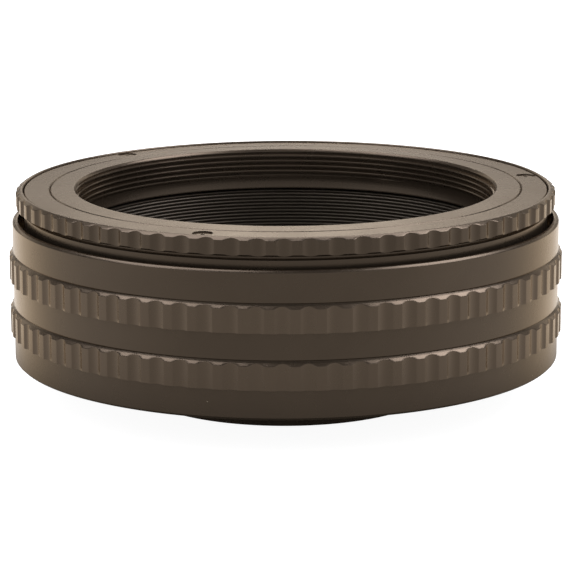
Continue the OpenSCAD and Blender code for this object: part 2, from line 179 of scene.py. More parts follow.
class Graph:
    """The node tree of a material or of the world."""

    def __init__(self, owner: Union[bpy.types.Material, bpy.types.World]) -> None:
        """Empties the owner's node tree."""
        owner.use_nodes = True
        self.tree = owner.node_tree
        self.tree.nodes.clear()

    def node(
        self,
        kind: str,
        settings: Optional[Mapping[str, Any]] = None,
        inputs: Optional[Mapping[Union[str, int], Input]] = None,
    ) -> bpy.types.Node:
        """Makes a node, sets its settings, and then fills or links its sockets.

        Args:
            kind: Type name of the node.
            settings: Attributes of the node.
            inputs: Values, sockets or wrapped sockets, by the input's name or number.

        Returns:
            The node.
        """
        node = self.tree.nodes.new(kind)
        for name, setting in (settings or {}).items():
            setattr(node, name, setting)
        for name, given in (inputs or {}).items():
            source = given.socket if isinstance(given, Value) else given
            if isinstance(source, bpy.types.NodeSocket):
                self.tree.links.new(source, node.inputs[name])
            else:
                node.inputs[name].default_value = source
        return node

    def value(self, node: bpy.types.Node, output: Union[str, int] = 0) -> Value:
        """Wraps a number output of a node."""
        return Value(self, node.outputs[output])

    def parts(self, vector: bpy.types.NodeSocket) -> tuple[Value, Value, Value]:
        """Splits a vector into its three wrapped coordinates."""
        node = self.node("ShaderNodeSeparateXYZ", None, {"Vector": vector})
        return self.value(node, 0), self.value(node, 1), self.value(node, 2)

    def noise(self, vector: bpy.types.NodeSocket, per_mm: float, detail: float = 2.0) -> Value:
        """A noise pattern between 0 and 1.

        Args:
            vector: Coordinates in metres.
            per_mm: Number of waves in a millimetre.
            detail: Octaves added to the first.

        Returns:
            The wrapped pattern.
        """
        node = self.node(
            "ShaderNodeTexNoise", None, {"Vector": vector, "Scale": per_mm / MM, "Detail": detail}
        )
        return self.value(node, "Fac")

    def blend(self, factor: Value, first: Colour, second: Colour) -> bpy.types.NodeSocket:
        """Blends two colours.

        Args:
            factor: Share of the second colour.
            first: Colour, or the socket of one.
            second: Colour, or the socket of one.

        Returns:
            The socket of the blended colour.
        """
        node = self.node(
            "ShaderNodeMix",
            {"data_type": "RGBA"},
            {
                Channel.FACTOR.value: factor,
                Channel.FIRST.value: first,
                Channel.SECOND.value: second,
            },
        )
        return node.outputs[Channel.RESULT.value]

    def scaled(self, colour: Colour, gain: Value) -> bpy.types.NodeSocket:
        """Makes a colour brighter or darker.

        Args:
            colour: Red, green and blue, or the socket of a colour.
            gain: Factor on the colour.

        Returns:
            The socket of the scaled colour.
        """
        node = self.node("ShaderNodeVectorMath", {"operation": "SCALE"}, {0: colour, "Scale": gain})
        return node.outputs[0]

    def surface(self, shader: bpy.types.Node) -> None:
        """Links a shader to the output of its material or world."""
        world = shader.bl_idname == "ShaderNodeBackground"
        kind = "ShaderNodeOutputWorld" if world else "ShaderNodeOutputMaterial"
        self.node(kind, None, {"Surface": shader.outputs[0]})


def rgba(colour: Sequence[float], shade: float = 1.0) -> tuple[float, float, float, float]:
    """A colour with full alpha, made lighter or darker by shade."""
    return (colour[0] * shade, colour[1] * shade, colour[2] * shade, 1.0)


@dataclass(frozen=True)
class TurnedMetal:
    """A turned metal surface, plain or anodised, with tool marks, fine grain, some dust and a
    painted sheen beyond a radius.

    Depths and radii are in millimetres.
    """

    name: str
    colour: tuple[float, float, float]
    edge_tint: tuple[float, float, float] = WHITE
    metallic: float = 1.0
    roughness: float = 0.27
    roughness_drift: float = 0.1
    # Beyond this radius the colour is lighter by the gain below: a painted sheen, not a different
    # metal.
    painted_sheen_beyond: float = 99.0
    painted_sheen_gain: float = 1.45
    mottle: float = 0.12
    mottle_per_mm: float = 0.16
    mottle_detail: float = 4.0
    tool_marks_per_mm: float = 2.6
    tool_marks_detail: float = 3.0
    tool_mark_depth: float = 0.004
    grain_per_mm: float = 11.0
    grain_detail: float = 1.0
    grain_depth: float = 0.0016
    dust: float = 0.012
    dust_free_share: float = 0.6
    dust_cells_per_mm: float = 0.3
    dust_roughness: float = 0.4
    dust_colour: tuple[float, float, float] = (0.42, 0.36, 0.28)

    def build(self) -> bpy.types.Material:
        """Makes the material.

        Returns:
            A material that reads Object coordinates, whose Z is the axis of turning.
        """
        material = bpy.data.materials.new(self.name)
        graph = Graph(material)
        point = graph.node("ShaderNodeTexCoord").outputs["Object"]
        x, y, z = graph.parts(point)
        radius = (x * x + y * y).root()
        section = graph.node("ShaderNodeCombineXYZ", None, {"X": radius, "Z": z}).outputs[0]
        marks = graph.noise(section, self.tool_marks_per_mm, self.tool_marks_detail)
        grain = graph.noise(point, self.grain_per_mm, self.grain_detail)
        mottle = graph.noise(point, self.mottle_per_mm, self.mottle_detail)
        dust = self._dust(graph, point)
        colour = graph.blend(
            mottle, rgba(self.colour, 1 - self.mottle), rgba(self.colour, 1 + self.mottle)
        )
        # Painted sheen: beyond this radius the base colour is made lighter, so the fluted bands
        # look as if they reflect more light.
        painted_sheen = radius > self.painted_sheen_beyond * MM
        colour = graph.blend(painted_sheen, colour, rgba(self.colour, self.painted_sheen_gain))
        colour = graph.blend(dust, colour, rgba(self.dust_colour))
        height = marks * self.tool_mark_depth + grain * self.grain_depth
        bump = graph.node("ShaderNodeBump", None, {"Height": height, "Distance": MM})
        drift = (mottle - 0.5) * self.roughness_drift
        shader = graph.node(
            "ShaderNodeBsdfPrincipled",
            None,
            {
                "Base Color": colour,
                "Metallic": self.metallic * (1.0 - dust),
                "Roughness": self.roughness + drift + dust * self.dust_roughness,
                "Specular Tint": rgba(self.edge_tint),
                "Normal": bump.outputs[0],
            },
        )
        graph.surface(shader)
        return material

    def _dust(self, graph: Graph, point: bpy.types.NodeSocket) -> Value:
        """Specks that lie in a few of many small cells.

        Args:
            graph: Graph of the material.
            point: Object coordinates.

        Returns:
            One on a speck and zero beside it.
        """
        cells = graph.node(
            "ShaderNodeTexVoronoi", None, {"Vector": point, "Scale": self.dust_cells_per_mm / MM}
        )
        pick = graph.node("ShaderNodeSeparateColor", None, {"Color": cells.outputs["Color"]})
        size = graph.value(pick, 0).ramp(self.dust_free_share, 1.0) * self.dust
        return graph.value(cells, "Distance") < size


@dataclass(frozen=True)
class MouldedPlastic:
    """A smooth slippery plastic with a little cloudiness. Depths are in millimetres."""

    name: str
    colour: tuple[float, float, float]
    roughness: float = 0.4
    roughness_drift: float = 0.1
    cloud_shades: tuple[float, float] = (0.92, 1.04)
    cloud_per_mm: float = 0.3
    grain_per_mm: float = 6.0
    grain_depth: float = 0.003

    def build(self) -> bpy.types.Material:
        """Makes the material.

        Returns:
            A material that reads Object coordinates.
        """
        material = bpy.data.materials.new(self.name)
        graph = Graph(material)
        point = graph.node("ShaderNodeTexCoord").outputs["Object"]
        cloud = graph.noise(point, self.cloud_per_mm)
        height = graph.noise(point, self.grain_per_mm) * self.grain_depth
        bump = graph.node("ShaderNodeBump", None, {"Height": height, "Distance": MM})
        dull, bright = (rgba(self.colour, shade) for shade in self.cloud_shades)
        shader = graph.node(
            "ShaderNodeBsdfPrincipled",
            None,
            {
                "Base Color": graph.blend(cloud, dull, bright),
                "Roughness": self.roughness + (cloud - 0.5) * self.roughness_drift,
                "Normal": bump.outputs[0],
            },
        )
        graph.surface(shader)
        return material


ANODISED_TINT = (1.0, 0.81, 0.61)
FINISHES = {
    Slot.BLACK: TurnedMetal(
        "black_anodising",
        (0.0375, 0.0273, 0.0192),
        ANODISED_TINT,
        metallic=0.7,
        # The sleeve's fluted bands lie beyond this radius and get the painted sheen.
        painted_sheen_beyond=37.85,
    ),
    Slot.MATT: TurnedMetal(
        "matt_black_anodising", (0.027, 0.022, 0.017), ANODISED_TINT, metallic=0.6, roughness=0.42
    ),
    Slot.BRASS: TurnedMetal(
        "greased_brass", (0.60, 0.42, 0.18), (1.0, 0.95, 0.8), roughness=0.3, mottle=0.2, dust=0.0
    ),
    Slot.SCREW: TurnedMetal("screw_steel", (0.42, 0.40, 0.37), roughness=0.3, dust=0.0),
    Slot.DARK_SCREW: TurnedMetal(
        "blackened_screw", (0.05, 0.037, 0.026), ANODISED_TINT, metallic=0.7, dust=0.0
    ),
    Slot.WASHER: MouldedPlastic("slippery_plastic", (0.78, 0.76, 0.70)),
}


@dataclass(frozen=True)
class Corner:
    """A corner of a turned outline, in millimetres."""

    r: float
    z: float
    rounding: float = 0.04


@dataclass(frozen=True)
class Span:
    """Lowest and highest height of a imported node, in millimetres."""

    low: float
    high: float

    @classmethod
    def of(cls, node: str) -> "Span":
        """Reads the span of a node from the frame."""
        low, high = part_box(node)
        return cls(low.z / MM, high.z / MM)


class Finisher:
    """Holds one material for each slot, and makes finished meshes pieces of the frame."""

    def __init__(self) -> None:
        """Builds every finish once."""
        self.materials = {slot: finish.build() for slot, finish in FINISHES.items()}

    def piece(
        self,
        name: str,
        bm: bmesh.types.BMesh,
        body: Body,
        slot: Slot,
        stands_for: Sequence[str] = (),
        crease: float = 28.0,
    ) -> bpy.types.Object:
        """Turns a bmesh into a piece that rides on a body.

        Args:
            name: Name of the piece.
            bm: Mesh in metres, which is freed.
            body: Body that the piece rides on.
            slot: Slot of the record whose finish the piece takes.
            stands_for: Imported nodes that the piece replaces.
            crease: Angle in degrees above which an edge stays sharp.

        Returns:
            The new object.
        """
        mesh = bpy.data.meshes.new(name)
        bm.to_mesh(mesh)
        bm.free()
        stored_normals = mesh.attributes.get("custom_normal")
        if stored_normals:
            mesh.attributes.remove(stored_normals)
        mesh.shade_smooth()
        mesh.set_sharp_from_angle(angle=math.radians(crease))
        mesh.materials.append(self.materials[slot])
        obj = bpy.data.objects.new(name, mesh)
        bpy.context.scene.collection.objects.link(obj)
        weighted = obj.modifiers.new("flat_faces_stay_flat", "WEIGHTED_NORMAL")
        weighted.keep_sharp = True
        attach(obj, body.value)
        if stands_for:
            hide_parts(*stands_for)
        LOG.info("piece %s: %d faces on %s", name, len(mesh.polygons), body.value)
        return obj

    def dress(self, node: str, slot: Slot) -> None:
        """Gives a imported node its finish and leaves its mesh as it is.

        Args:
            node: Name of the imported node.
            slot: Slot of the record whose finish the node takes.
        """
        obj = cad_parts[node]
        obj.data.materials.clear()
        obj.data.materials.append(self.materials[slot])
        LOG.info("node %s: dressed as %s", node, slot.value)


class Lathe:
    """Turns outlines about the optical axis."""

    def __init__(self, steps: int) -> None:
        """Sets the number of steps in a full turn."""
        self.steps = steps

    @staticmethod
    def outline(corners: Iterable[Corner]) -> bmesh.types.BMesh:
        """Draws a closed outline in the XZ plane and rounds its corners.

        Args:
            corners: Corners in order round the section.

        Returns:
            A bmesh of edges in metres.
        """
        bm = bmesh.new()
        given = list(corners)
        verts = [bm.verts.new((corner.r * MM, 0, corner.z * MM)) for corner in given]
        for first, second in zip(verts, verts[1:] + verts[:1]):
            bm.edges.new((first, second))
        for rounding in sorted({corner.rounding for corner in given if corner.rounding > 0}):
            bmesh.ops.bevel(
                bm,
                geom=[v for v, corner in zip(verts, given) if corner.rounding == rounding],
                offset=rounding * MM,
                offset_type="OFFSET",
                segments=2,
                profile=0.5,
                affect="VERTICES",
                material=-1,
            )
        return bm

    def turn(self, corners: Iterable[Corner]) -> bmesh.types.BMesh:
        """Spins an outline into a closed body.

        Args:
            corners: Corners in order round the section.

        Returns:
            A closed bmesh in metres with its faces outwards.
        """
        bm = self.outline(corners)
        bmesh.ops.spin(
            bm,
            geom=bm.verts[:] + bm.edges[:],
            axis=AXIS,
            angle=math.tau,
            steps=self.steps,
            use_merge=True,
        )
        bmesh.ops.recalc_face_normals(bm, faces=bm.faces[:])
        return bm


@dataclass(frozen=True)
class Flutes:
    """Round-bottomed flutes, milled upright round a turned piece. Sizes in millimetres."""

    count: int
    first_angle: float
    cutter_r: float
    floor_r: float
    spans: tuple[tuple[float, float], ...]
    shares: tuple[float, ...] = (0.0, 0.36, 0.70, 0.965, 1.035)
    least_half_angle: float = 0.3
    plain_rise: float = 0.2

    @property
    def pitch(self) -> float:
        """Angle between two flutes."""
        return math.tau / self.count

    @property
    def columns(self) -> int:
        """Steps of the mesh from the middle of a flute to the middle of a land."""
        return len(self.shares) + 1

    def half_angle(self, surface_r: float) -> float:
        """Angle from a flute's middle to its edge.

        Args:
            surface_r: Radius of the surface that the flute is milled in.

        Returns:
            The angle in radians, which is never less than the least half angle.
        """
        centre = self.floor_r + self.cutter_r
        cosine = (centre**2 + surface_r**2 - self.cutter_r**2) / (2 * centre * surface_r)
        least = math.radians(self.least_half_angle)
        return max(math.acos(min(cosine, 1.0)), least) if surface_r > self.floor_r else least

    def wall_r(self, angle: float) -> float:
        """Radius of the flute's wall.

        Args:
            angle: Angle from the middle of the flute, in radians.

        Returns:
            The radius, or infinity beside the cutter.
        """
        centre = self.floor_r + self.cutter_r
        across = centre * math.sin(angle)
        if abs(across) >= self.cutter_r:
            return math.inf
        return centre * math.cos(angle) - math.sqrt(self.cutter_r**2 - across**2)

    def column_angle(self, column: int, edge: float) -> float:
        """Angle of a column of the mesh, where the flute's edge lies at the angle edge.

        Args:
            column: Number of the column, counted from the middle of the flute.
            edge: Angle of the flute's edge.

        Returns:
            The angle from the middle of the flute.
        """
        last = len(self.shares) - 1
        if column <= last:
            return self.shares[column] * edge
        start = self.shares[last] * edge
        return start + (self.pitch / 2 - start) * (column - last) / (self.columns - last)

    def mill(self, corners: Iterable[Corner]) -> bmesh.types.BMesh:
        """Turns one pitch of an outline, mills a flute in it, and repeats it round the piece.

        Args:
            corners: Corners in order round the section.

        Returns:
            A closed bmesh in metres with its faces outwards.
        """
        bm = Lathe.outline(corners)
        bmesh.ops.rotate(bm, matrix=Matrix.Rotation(-self.pitch / 2, 3, AXIS), verts=bm.verts)
        bmesh.ops.spin(
            bm,
            geom=bm.verts[:] + bm.edges[:],
            axis=AXIS,
            angle=self.pitch,
            steps=2 * self.columns,
        )
        for vert in bm.verts:
            self._mill_vert(vert)
        bmesh.ops.rotate(
            bm, matrix=Matrix.Rotation(math.radians(self.first_angle), 3, AXIS), verts=bm.verts
        )
        bmesh.ops.spin(
            bm,
            geom=bm.verts[:] + bm.edges[:] + bm.faces[:],
            axis=AXIS,
            angle=math.tau - self.pitch,
            steps=self.count - 1,
            use_duplicate=True,
        )
        bmesh.ops.remove_doubles(bm, verts=bm.verts, dist=MERGE)
        bmesh.ops.recalc_face_normals(bm, faces=bm.faces[:])
        return bm

    def _mill_vert(self, vert: bmesh.types.BMVert) -> None:
        """Moves a point of the turned pitch to the flute's column, and in to the flute's wall.

        Args:
            vert: Point of the mesh, whose pitch has its middle on the X axis.
        """
        radius = math.hypot(vert.co.x, vert.co.y) / MM
        height = vert.co.z / MM
        turn = math.atan2(vert.co.y, vert.co.x)
        column = round(turn / self.pitch * 2 * self.columns)
        fluted = any(low <= height <= high for low, high in self.spans)
        plain_r = self.floor_r + self.cutter_r * self.plain_rise
        edge = self.half_angle(max(radius, self.floor_r) if fluted else plain_r)
        angle = math.copysign(self.column_angle(abs(column), edge), column)
        if fluted:
            radius = min(radius, self.wall_r(angle))
        vert.co.x = radius * MM * math.cos(angle)
        vert.co.y = radius * MM * math.sin(angle)


@dataclass(frozen=True)
class Coil:
    """The ridge of a screw thread, with its foot sunk in the wall. Sizes in millimetres."""

    root_r: float
    crest_r: float
    pitch: float
    start_z: float
    turns: float
    start_angle: float
    crest_w: float = 0.3
    crest_drop: float = 0.06
    flat_share: float = 0.125
    foot_w: float = 0.5
    sunk: float = 0.08
    steps: int = 160
    runin: float = 0.12
    runout: float = 0.12
    least_rise: float = 0.02

    def add(self, bm: bmesh.types.BMesh) -> None:
        """Adds the ridge to a bmesh as a closed shell.

        Args:
            bm: Mesh in metres of the body that carries the thread.
        """
        outward = math.copysign(1, self.crest_r - self.root_r)
        foot_r = self.root_r - outward * self.sunk
        edge_r = self.crest_r - outward * self.crest_drop
        flat = self.crest_w * self.flat_share
        section = (
            (foot_r, -self.foot_w / 2),
            (self.root_r, -self.foot_w / 2),
            (edge_r, -self.crest_w / 2),
            (self.crest_r, -flat),
            (self.crest_r, flat),
            (edge_r, self.crest_w / 2),
            (self.root_r, self.foot_w / 2),
            (foot_r, self.foot_w / 2),
        )
        turned = Matrix.Rotation(math.radians(self.start_angle), 3, AXIS)
        coil = bmesh.new()
        verts = [coil.verts.new(turned @ Vector((r, 0, self.start_z + z))) for r, z in section]
        for first, second in zip(verts, verts[1:] + verts[:1]):
            coil.edges.new((first, second))
        steps = round(self.steps * self.turns)
        first_loop = coil.edges[:]
        result = bmesh.ops.spin(
            coil,
            geom=coil.verts[:] + coil.edges[:],
            axis=AXIS,
            dvec=(0, 0, self.pitch * self.turns / steps),
            angle=math.tau * self.turns,
            steps=steps,
        )
        last_loop = [item for item in result["geom_last"] if isinstance(item, bmesh.types.BMEdge)]
        bmesh.ops.contextual_create(coil, geom=first_loop)
        bmesh.ops.contextual_create(coil, geom=last_loop)
        self._run_out(coil, foot_r)
        bmesh.ops.scale(coil, vec=(MM, MM, MM), verts=coil.verts)
        bmesh.ops.recalc_face_normals(coil, faces=coil.faces[:])
        mesh = bpy.data.meshes.new("coil")
        coil.to_mesh(mesh)
        coil.free()
        bm.from_mesh(mesh)
        bpy.data.meshes.remove(mesh)

    def _run_out(self, coil: bmesh.types.BMesh, foot_r: float) -> None:
        """Lets the ridge sink into the wall at both of its ends.

        Args:
            coil: Mesh of the ridge, in millimetres.
            foot_r: Radius of the ridge's foot.
        """
        for vert in coil.verts:
            radius = math.hypot(vert.co.x, vert.co.y)
            turn = math.degrees(math.atan2(vert.co.y, vert.co.x)) - self.start_angle
            rise = (vert.co.z - self.start_z) / self.pitch
            along = round(rise - turn / 360) + turn / 360
            rises = along / self.runin, (self.turns - along) / self.runout
            level = foot_r + (radius - foot_r) * max(self.least_rise, min(1.0, *rises))
            vert.co.x *= level / radius
            vert.co.y *= level / radius


def rows_between(low: Corner, high: Corner, floor_r: float, count: int) -> list[Corner]:
    """Corners along a bevel, closer together where it nears the floor of the flutes.

    Args:
        low: End of the bevel on the land.
        high: End of the bevel away from the land.
        floor_r: Radius of the floor of the flutes.
        count: Number of corners between the two ends.

    Returns:
        The corners between the two ends, from low to high.
    """
    rows = []
    reach = max(high.r, floor_r)
    for i in range(1, count + 1):
        r = reach + (low.r - reach) * (1 - i / count) ** 2
        share = (r - low.r) / (high.r - low.r)
        if share < 1:
            rows.append(Corner(r, low.z + (high.z - low.z) * share, 0))
    return rows


@dataclass(frozen=True)
class Band:
    """A fluted band of a turned piece. Sizes in millimetres."""

    low: float
    height: float
    land_r: float
    floor_r: float
    foot_r: float
    foot_h: float
    top_r: float
    top_h: float
    foot_rounding: float = 0.02
    land_rounding: float = 0.03
    top_rounding: float = 0.02
    rows: int = 5

    @property
    def high(self) -> float:
        """Height of the band's top."""
        return self.low + self.height

    def corners(self) -> list[Corner]:
        """Draws the band's side of the section.

        Returns:
            The corners of the band from its foot up.
        """
        foot = Corner(self.foot_r, self.low, self.foot_rounding)
        land_low = Corner(self.land_r, self.low + self.foot_h, self.foot_rounding)
        land_high = Corner(self.land_r, self.high - self.top_h, self.land_rounding)
        top = Corner(self.top_r, self.high, self.top_rounding)
        foot_rows = rows_between(land_low, foot, self.floor_r, self.rows)
        top_rows = rows_between(land_high, top, self.floor_r, self.rows)
        return [foot, *reversed(foot_rows), land_low, land_high, *top_rows, top]


@dataclass
class GripSleeve:
    """The outer sleeve that is turned to focus: one turned piece with two fluted bands."""

    finisher: Finisher
    plain_r: float = 37.75
    band_r: float = 38.26
    bore_r: float = 36.4
    mouth_r: float = 37.0
    mouth_depth: float = 3.0
    recess_r: float = 34.9
    lip_r: float = 33.08
    lip_low: float = 6.75
    lip_high: float = 8.05
    edge: float = 0.3
    band_starts: tuple[float, float] = (4.0, 11.43)
    band_height: float = 3.8
    foot: float = 0.015
    foot_gap: float = 0.01
    relief: float = 0.12
    relief_rounding: float = 0.03
    mouth_rounding: float = 0.06
    flutes: int = 72
    flute_angle: float = -90.7
    cutter_r: float = 1.75
    floor_r: float = 37.92
    slack: float = 0.001

    def bands(self) -> list[Band]:
        """Places the two bands.

        Returns:
            The bands, from the rear to the front.
        """
        low = Span.of("grip_sleeve").low
        return [
            Band(
                low=low + start,
                height=self.band_height,
                land_r=self.band_r,
                floor_r=self.floor_r,
                foot_r=self.band_r - self.foot,
                foot_h=self.foot,
                top_r=self.plain_r - self.relief,
                top_h=self.band_r - self.plain_r + self.relief,
                foot_rounding=0,
            )
            for start in self.band_starts
        ]

    def outline(self) -> list[Corner]:
        """Draws the section of the sleeve.

        Returns:
            The corners from the recess at the rear round the outside to the lip.
        """
        span = Span.of("grip_sleeve")
        corners = [
            Corner(self.recess_r, span.low),
            Corner(self.plain_r - self.edge, span.low),
            Corner(self.plain_r, span.low + self.edge),
        ]
        for band in self.bands():
            corners.append(Corner(self.plain_r, band.low - self.foot_gap, 0))
            corners.extend(band.corners())
            corners.append(Corner(self.plain_r, band.high + self.relief, self.relief_rounding))
        corners += [
            Corner(self.plain_r, span.high - self.edge),
            Corner(self.plain_r - self.edge, span.high),
            Corner(self.mouth_r, span.high, self.mouth_rounding),
            Corner(self.mouth_r, span.high - self.mouth_depth),
            Corner(self.bore_r, span.high - self.mouth_depth),
            Corner(self.bore_r, self.lip_high),
            Corner(self.lip_r, self.lip_high),
            Corner(self.lip_r, self.lip_low),
            Corner(self.recess_r, self.lip_low),
        ]
        return corners

    def build(self) -> None:
        """Builds the sleeve."""
        spans = ((band.low - self.slack, band.high + self.slack) for band in self.bands())
        flutes = Flutes(
            count=self.flutes,
            first_angle=self.flute_angle,
            cutter_r=self.cutter_r,
            floor_r=self.floor_r,
            spans=tuple(spans),
        )
        bm = flutes.mill(self.outline())
        self.finisher.piece("sleeve_turned_fluted", bm, Body.FOCUS, Slot.BLACK, ["grip_sleeve"])


@dataclass
class FrontRing:
    """The thin fluted ring round the front."""

    finisher: Finisher
    land_r: float = 37.2
    floor_r: float = 36.8
    foot_inset: float = 0.52
    foot_h: float = 0.3
    top_inset: float = 0.6
    top_h: float = 0.38
    recess_r: float = 36.2
    flange_t: float = 0.8
    seat_r: float = 32.55
    joint_bevel: float = 0.12
    joint_rounding: float = 0.03
    flutes: int = 70
    flute_angle: float = -90.3
    cutter_r: float = 1.54

    def build(self) -> None:
        """Builds the ring."""
        span = Span.of("front_grip_ring")
        band = Band(
            low=span.low,
            height=span.high - span.low,
            land_r=self.land_r,
            floor_r=self.floor_r,
            foot_r=self.land_r - self.foot_inset,
            foot_h=self.foot_h,
            top_r=self.land_r - self.top_inset,
            top_h=self.top_h,
        )
        flutes = Flutes(
            count=self.flutes,
            first_angle=self.flute_angle,
            cutter_r=self.cutter_r,
            floor_r=self.floor_r,
            spans=((span.low, span.high),),
        )
        outline = [
            Corner(self.seat_r, span.low),
            *band.corners(),
            Corner(self.recess_r + self.joint_bevel, span.high, self.joint_rounding),
            Corner(self.recess_r, span.high - self.joint_bevel, self.joint_rounding),
            Corner(self.recess_r, span.low + self.flange_t),
            Corner(self.seat_r, span.low + self.flange_t),
        ]
        bm = flutes.mill(outline)
        self.finisher.piece("front_ring_fluted", bm, Body.FRONT, Slot.BLACK, ["front_grip_ring"])


@dataclass
class ThreadInsert:
    """The innermost front ring: a faintly crowned face, a fine thread and a curved relief."""

    finisher: Finisher
    outer_r: float = 32.45
    root_r: float = 29.0
    crest_r: float = 28.6
    mouth_r: float = 29.2
    mouth_depth: float = 0.36
    mouth_rounding: float = 0.06
    relief: tuple[tuple[float, float], ...] = (
        (29.0, 1.6),
        (28.99, 1.4),
        (28.975, 1.15),
        (28.92, 0.8),
        (28.84, 0.4),
    )
    relief_rounding: float = 0.15
    rear_r: float = 28.73
    rear_rounding: float = 0.08
    lip_r: float = 28.9
    lip_h: float = 0.08
    lip_rounding: float = 0.02
    joint_bevel: float = 0.12
    joint_rounding: float = 0.03
    crown: float = 0.085
    pitch: float = 0.75
    thread_start_angle: float = 18.0
    thread_start: float = 1.7
    thread_turns: float = 4.5
    thread_runin: float = 0.6
    steps: int = 256

    def build(self) -> None:
        """Builds the insert."""
        span = Span.of("thread_insert")
        rim_z = span.high - self.crown
        lip_z = span.high - self.mouth_depth
        outline = [
            Corner(self.rear_r, span.low, self.rear_rounding),
            Corner(self.outer_r, span.low),
            Corner(self.outer_r, rim_z - self.joint_bevel, self.joint_rounding),
            Corner(self.outer_r - self.joint_bevel, rim_z, self.joint_rounding),
            Corner(self.mouth_r, span.high, self.mouth_rounding),
            Corner(self.lip_r, lip_z, self.lip_rounding),
            Corner(self.root_r, lip_z - self.lip_h, self.lip_rounding),
            *(Corner(r, span.low + z, self.relief_rounding) for r, z in self.relief),
        ]
        bm = Lathe(self.steps).turn(outline)
        Coil(
            root_r=self.root_r,
            crest_r=self.crest_r,
            pitch=self.pitch,
            start_z=span.low + self.thread_start,
            turns=self.thread_turns,
            start_angle=self.thread_start_angle,
            runin=self.thread_runin,
        ).add(bm)
        self.finisher.piece("insert_with_thread", bm, Body.FRONT, Slot.BLACK, ["thread_insert"])


def merged_copy(node: str) -> bmesh.types.BMesh:
    """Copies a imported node's mesh, which stays as it is, and joins its loose triangles.

    Args:
        node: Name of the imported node.

    Returns:
        The joined copy, in metres.
    """
    bm = bmesh.new()
    bm.from_mesh(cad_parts[node].data)
    bmesh.ops.remove_doubles(bm, verts=bm.verts, dist=MERGE)
    return bm


@dataclass
class Barrel:
    """The barrel that slides out of the sleeve and carries the front."""

    finisher: Finisher

    def build(self) -> None:
        """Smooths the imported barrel."""
        bm = merged_copy("inner_barrel")
        self.finisher.piece("barrel_turned", bm, Body.FRONT, Slot.BLACK, ["inner_barrel"])


@dataclass
class RearMount:
    """The fixed rear: the plate with its thread, and the grooved guide tube."""

    finisher: Finisher
    crest_r: float = 21.0
    root_r: float = 20.4
    pitch: float = 1.0
    thread_angle: float = -60.0
    thread_low: float = 0.45
    thread_top: float = 4.9
    thread_crest_w: float = 0.2
    thread_foot_w: float = 0.86
    thread_wall_top: float = 5.3
    wall_slack: float = 0.1
    groove_rounding: float = 0.18
    groove_segments: int = 4
    groove_slack: float = 0.01
    groove_crease: float = 40.0

    def build(self) -> None:
        """Builds the plate with its thread, and the guide tube."""
        bm = merged_copy("rear_mount")
        self._cut_to_root(bm)
        Coil(
            root_r=self.root_r,
            crest_r=self.crest_r,
            pitch=self.pitch,
            start_z=self.thread_low,
            turns=(self.thread_top - self.thread_low) / self.pitch,
            start_angle=self.thread_angle,
            foot_w=self.thread_foot_w,
            crest_w=self.thread_crest_w,
        ).add(bm)
        self.finisher.piece("rear_plate_with_thread", bm, Body.MOUNT, Slot.BLACK, ["rear_mount"])
        tube = merged_copy("guide_tube")
        self._round_crests(tube)
        self.finisher.piece(
            "grooved_tube", tube, Body.MOUNT, Slot.MATT, ["guide_tube"], self.groove_crease
        )

    def _round_crests(self, bm: bmesh.types.BMesh) -> None:
        """Rounds the crests of the grooves in the tube's bore.

        Args:
            bm: Joined copy of the guide tube, in metres.
        """
        crest_r = min(vert.co.xy.length for vert in bm.verts) + self.groove_slack * MM
        crests = [
            edge
            for edge in bm.edges
            if abs(edge.verts[0].co.z - edge.verts[1].co.z) < self.groove_slack * MM
            and all(vert.co.xy.length < crest_r for vert in edge.verts)
        ]
        bmesh.ops.bevel(
            bm,
            geom=crests,
            offset=self.groove_rounding * MM,
            segments=self.groove_segments,
            profile=0.5,
            affect="EDGES",
            material=-1,
        )

    def _cut_to_root(self, bm: bmesh.types.BMesh) -> None:
        """Moves the wall of the rear thread in to its root.

        Args:
            bm: Joined copy of the rear mount, in metres.
        """
        top = (Span.of("rear_mount").low + self.thread_wall_top) * MM
        for vert in bm.verts:
            radius = vert.co.xy.length / MM
            if self.root_r < radius < self.crest_r + self.wall_slack and vert.co.z < top:
                vert.co.x *= self.root_r / radius
                vert.co.y *= self.root_r / radius


@dataclass
class FaceRing:
    """The ring between the insert and the fluted ring, a little below both and faintly crowned."""

    finisher: Finisher
    sunk: float = 0.1
    top_layer: float = 0.15
    inner_r: float = 32.55
    crown_slope: float = 0.027

    def build(self) -> None:
        """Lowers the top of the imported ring, and slopes it outwards."""
        bm = merged_copy("face_ring")
        top = max(vert.co.z for vert in bm.verts)
        for vert in bm.verts:
            if top - vert.co.z < self.top_layer * MM:
                beyond = vert.co.xy.length - self.inner_r * MM
                vert.co.z -= self.sunk * MM + beyond * self.crown_slope
        self.finisher.piece("face_ring_flat", bm, Body.FRONT, Slot.BLACK, ["face_ring"])


@dataclass
class FaceScrews:
    """The three screws in the face ring, whose heads fill their holes."""

    finisher: Finisher
    head_r: float = 1.3
    hole_r: float = 1.34
    head_drop: float = 0.08
    socket_r: float = 0.5
    socket_scale: float = 0.62
    slack: float = 0.02

    def build(self) -> None:
        """Builds the screws."""
        for letter in "abc":
            node = f"face_screw_{letter}"
            bm = merged_copy(node)
            self._fill_hole(bm, node)
            self.finisher.piece(f"{node}_fitted", bm, Body.FRONT, Slot.DARK_SCREW, [node])

    def _fill_hole(self, bm: bmesh.types.BMesh, node: str) -> None:
        """Widens the head to its hole, and narrows the socket.

        Args:
            bm: Joined copy of a screw, in metres.
            node: Name of the screw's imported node.
        """
        low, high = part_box(node)
        centre = (low + high) / 2
        for vert in bm.verts:
            if high.z - vert.co.z < self.slack * MM:
                vert.co.z -= self.head_drop * MM
            offset = vert.co.xy - centre.xy
            reach = offset.length / MM
            scale = 1.0
            if reach > self.head_r - self.slack:
                scale = self.hole_r / self.head_r
            elif reach < self.socket_r + self.slack:
                scale = self.socket_scale
            vert.co.xy = centre.xy + offset * scale


